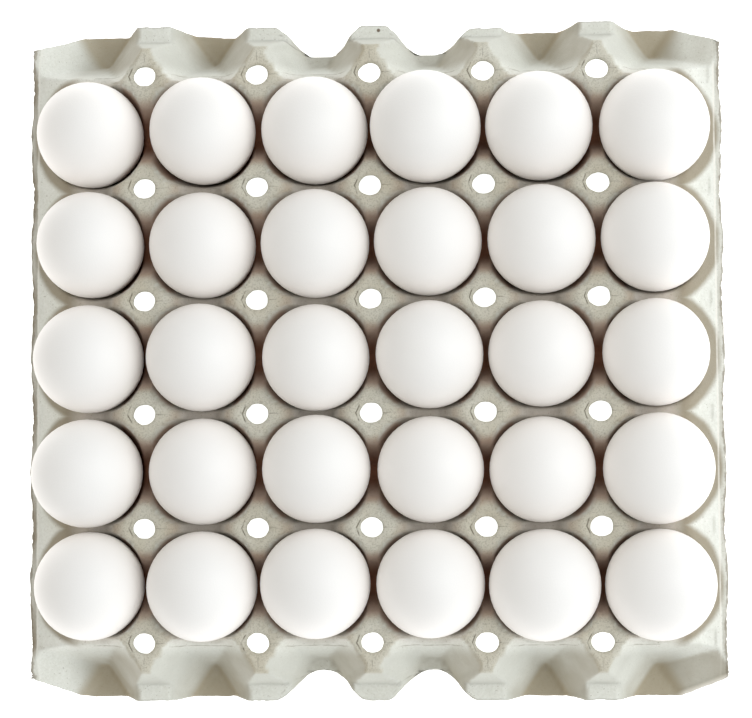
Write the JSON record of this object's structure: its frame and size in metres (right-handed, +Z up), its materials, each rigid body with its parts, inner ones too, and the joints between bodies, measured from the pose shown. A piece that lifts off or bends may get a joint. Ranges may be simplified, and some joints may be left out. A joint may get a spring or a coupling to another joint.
{
  "type": "egg tray with eggs",
  "caption": "Open square moulded-pulp egg tray with a white hen's egg standing in every pocket, hollow posts between the eggs, and faceted, notched long edges.",
  "frame": {"origin": "on the table under the middle of the tray", "axes": "+X along the rows of six eggs, +Y along the columns of five eggs, towards a faceted long edge, +Z up"},
  "size_m": [0.2994, 0.2926, 0.0702],
  "materials": {
    "pulp": "rough grey moulded paper pulp with flecks and fibres",
    "eggshell": "smooth white hen's eggshell with a soft dull sheen and fine pores"
  },
  "bodies": {
    "root": {"tray": "pulp", "egg_r1c1": "eggshell", "egg_r1c2": "eggshell", "egg_r1c3": "eggshell", "egg_r1c4": "eggshell", "egg_r1c5": "eggshell", "egg_r1c6": "eggshell", "egg_r2c1": "eggshell", "egg_r2c2": "eggshell", "egg_r2c3": "eggshell", "egg_r2c4": "eggshell", "egg_r2c5": "eggshell", "egg_r2c6": "eggshell", "egg_r3c1": "eggshell", "egg_r3c2": "eggshell", "egg_r3c3": "eggshell", "egg_r3c4": "eggshell", "egg_r3c5": "eggshell", "egg_r3c6": "eggshell", "egg_r4c1": "eggshell", "egg_r4c2": "eggshell", "egg_r4c3": "eggshell", "egg_r4c4": "eggshell", "egg_r4c5": "eggshell", "egg_r4c6": "eggshell", "egg_r5c1": "eggshell", "egg_r5c2": "eggshell", "egg_r5c3": "eggshell", "egg_r5c4": "eggshell", "egg_r5c5": "eggshell", "egg_r5c6": "eggshell"}
  },
  "joints": []
}
